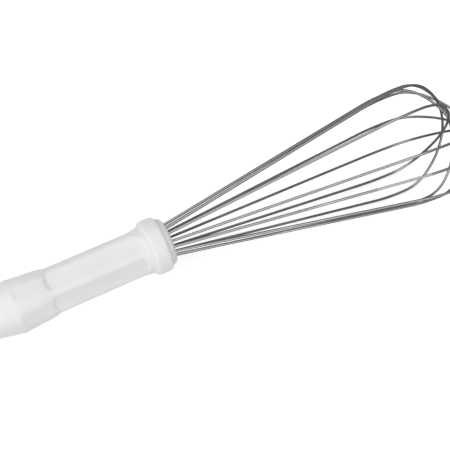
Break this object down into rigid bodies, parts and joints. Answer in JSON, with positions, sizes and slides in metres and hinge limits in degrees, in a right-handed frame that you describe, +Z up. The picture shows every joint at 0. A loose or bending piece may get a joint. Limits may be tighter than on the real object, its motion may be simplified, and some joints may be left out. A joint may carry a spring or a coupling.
{
  "type": "balloon whisk",
  "caption": "Hand whisk with thin steel wire loops that swell to a round tip, set in a fluted white moulded grip with a collar and a hanging hole.",
  "frame": {"origin": "centre of the hanging hole, on the whisk's axis", "axes": "+X along the whisk from the butt of the grip to the tip of the wires, +Z up through the hanging hole and square to one flat of the grip, +Y across"},
  "size_m": [0.3552, 0.0863, 0.0869],
  "materials": {
    "grip": "satin",
    "plug": "satin",
    "seal": "cast",
    "anchor": "plain",
    "wire": "polished"
  },
  "bodies": {
    "root": {"grip": "grip", "front_plug": "plug", "seal": "seal", "anchor_disc": "anchor", "wire_loop_1": "wire", "wire_loop_2": "wire", "wire_loop_3": "wire", "wire_loop_4": "wire", "wire_loop_5": "wire", "wire_loop_6": "wire", "wire_loop_7": "wire"}
  },
  "joints": []
}
